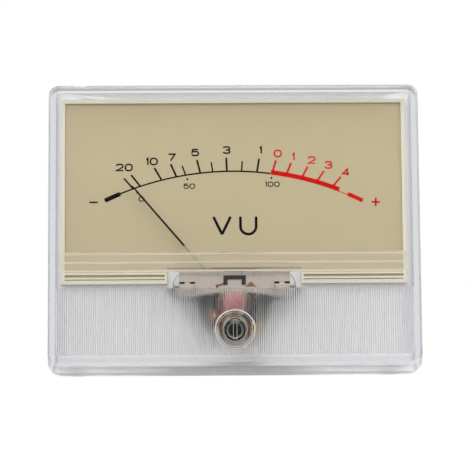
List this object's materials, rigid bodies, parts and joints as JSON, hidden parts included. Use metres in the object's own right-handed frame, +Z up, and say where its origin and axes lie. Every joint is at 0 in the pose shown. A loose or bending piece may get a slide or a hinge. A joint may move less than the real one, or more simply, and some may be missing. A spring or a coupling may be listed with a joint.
{
  "type": "analog VU meter",
  "caption": "Panel-mounted analog level meter with a clear ribbed front, beige printed dial, black needle, zero adjuster and moving-coil movement.",
  "frame": {"origin": "centre of the four panel studs, in the plane where the flange meets the panel", "axes": "+X to the right seen from the front, +Y to the back through the panel, +Z up"},
  "size_m": [0.09, 0.046, 0.07],
  "materials": {
    "clear_plastic": "clear moulded polystyrene, glossy",
    "white_plastic": "white moulded plastic, satin",
    "cream_plastic": "cream moulded plastic, satin",
    "dial_paint": "beige enamel, satin, printed scale",
    "black_plastic": "black moulded plastic",
    "pointer_paint": "thin black paint on aluminium",
    "aluminium": "plain sheet",
    "nickel": "nickel plated",
    "steel": "zinc plated",
    "soft_iron": "dark, lightly oiled",
    "magnet": "dark grey sintered magnet",
    "brass": "plain turned brass",
    "copper": "enamelled copper wire",
    "bronze_spring": "phosphor bronze strip",
    "ruby": "polished synthetic jewel",
    "lacquered_brass": "brass sealed with pink-red lacquer",
    "fibre": "vulcanised fibre"
  },
  "bodies": {
    "housing": {"front_cover": "clear_plastic", "base_housing": "white_plastic", "dial_frame": "cream_plastic", "dial_plate": "dial_paint", "panel_studs": "steel", "yoke_ring": "soft_iron", "core_magnet": "magnet", "core_supports": "brass", "front_pillars": "nickel", "rear_pillars": "nickel", "front_bridge": "nickel", "rear_bridge": "nickel", "bridge_screws": "steel", "front_jewel_screw": "brass", "rear_jewel_screw": "brass", "front_lock_nut": "lacquered_brass", "rear_lock_nut": "brass", "front_jewel": "ruby", "rear_jewel": "ruby", "rear_spring_tag": "brass", "tag_insulator": "fibre", "rear_hairspring": "bronze_spring", "bridge_block": "black_plastic", "front_lead": "copper", "pointer_stops": "steel", "lead_straps": "copper", "terminal_studs": "brass", "terminal_washers": "nickel", "solder_lugs": "nickel", "terminal_nuts": "brass"},
    "adjuster": {"zero_adjuster": "clear_plastic", "adjuster_clip": "steel"},
    "zero_lever": {"zero_arm": "brass", "front_hairspring": "bronze_spring"},
    "pointer": {"coil_former": "aluminium", "coil_winding": "copper", "front_pivot": "steel", "rear_pivot": "steel", "pointer_hub": "pointer_paint", "pointer_needle": "pointer_paint", "balance_weights": "brass"}
  },
  "joints": [
    {"name": "pointer_swing", "type": "hinge", "parent": "housing", "child": "pointer", "pos_m": [0, 0.001, -0.01795], "axis": [0, 1, 0], "range_deg": [-3.5, 84.7], "stiffness_Nm_per_rad": 0.00002},
    {"name": "zero_adjust", "type": "hinge", "parent": "housing", "child": "adjuster", "pos_m": [0, -0.011, -0.0247], "axis": [0, 1, 0], "range_deg": [-40, 40]},
    {"name": "zero_lever_turn", "type": "hinge", "parent": "housing", "child": "zero_lever", "pos_m": [0, -0.0086, -0.01795], "axis": [0, 1, 0], "range_deg": [-7, 7]}
  ],
  "couplings": [
    {"joint": "zero_lever_turn", "follows": "zero_adjust", "ratio": -0.16}
  ]
}
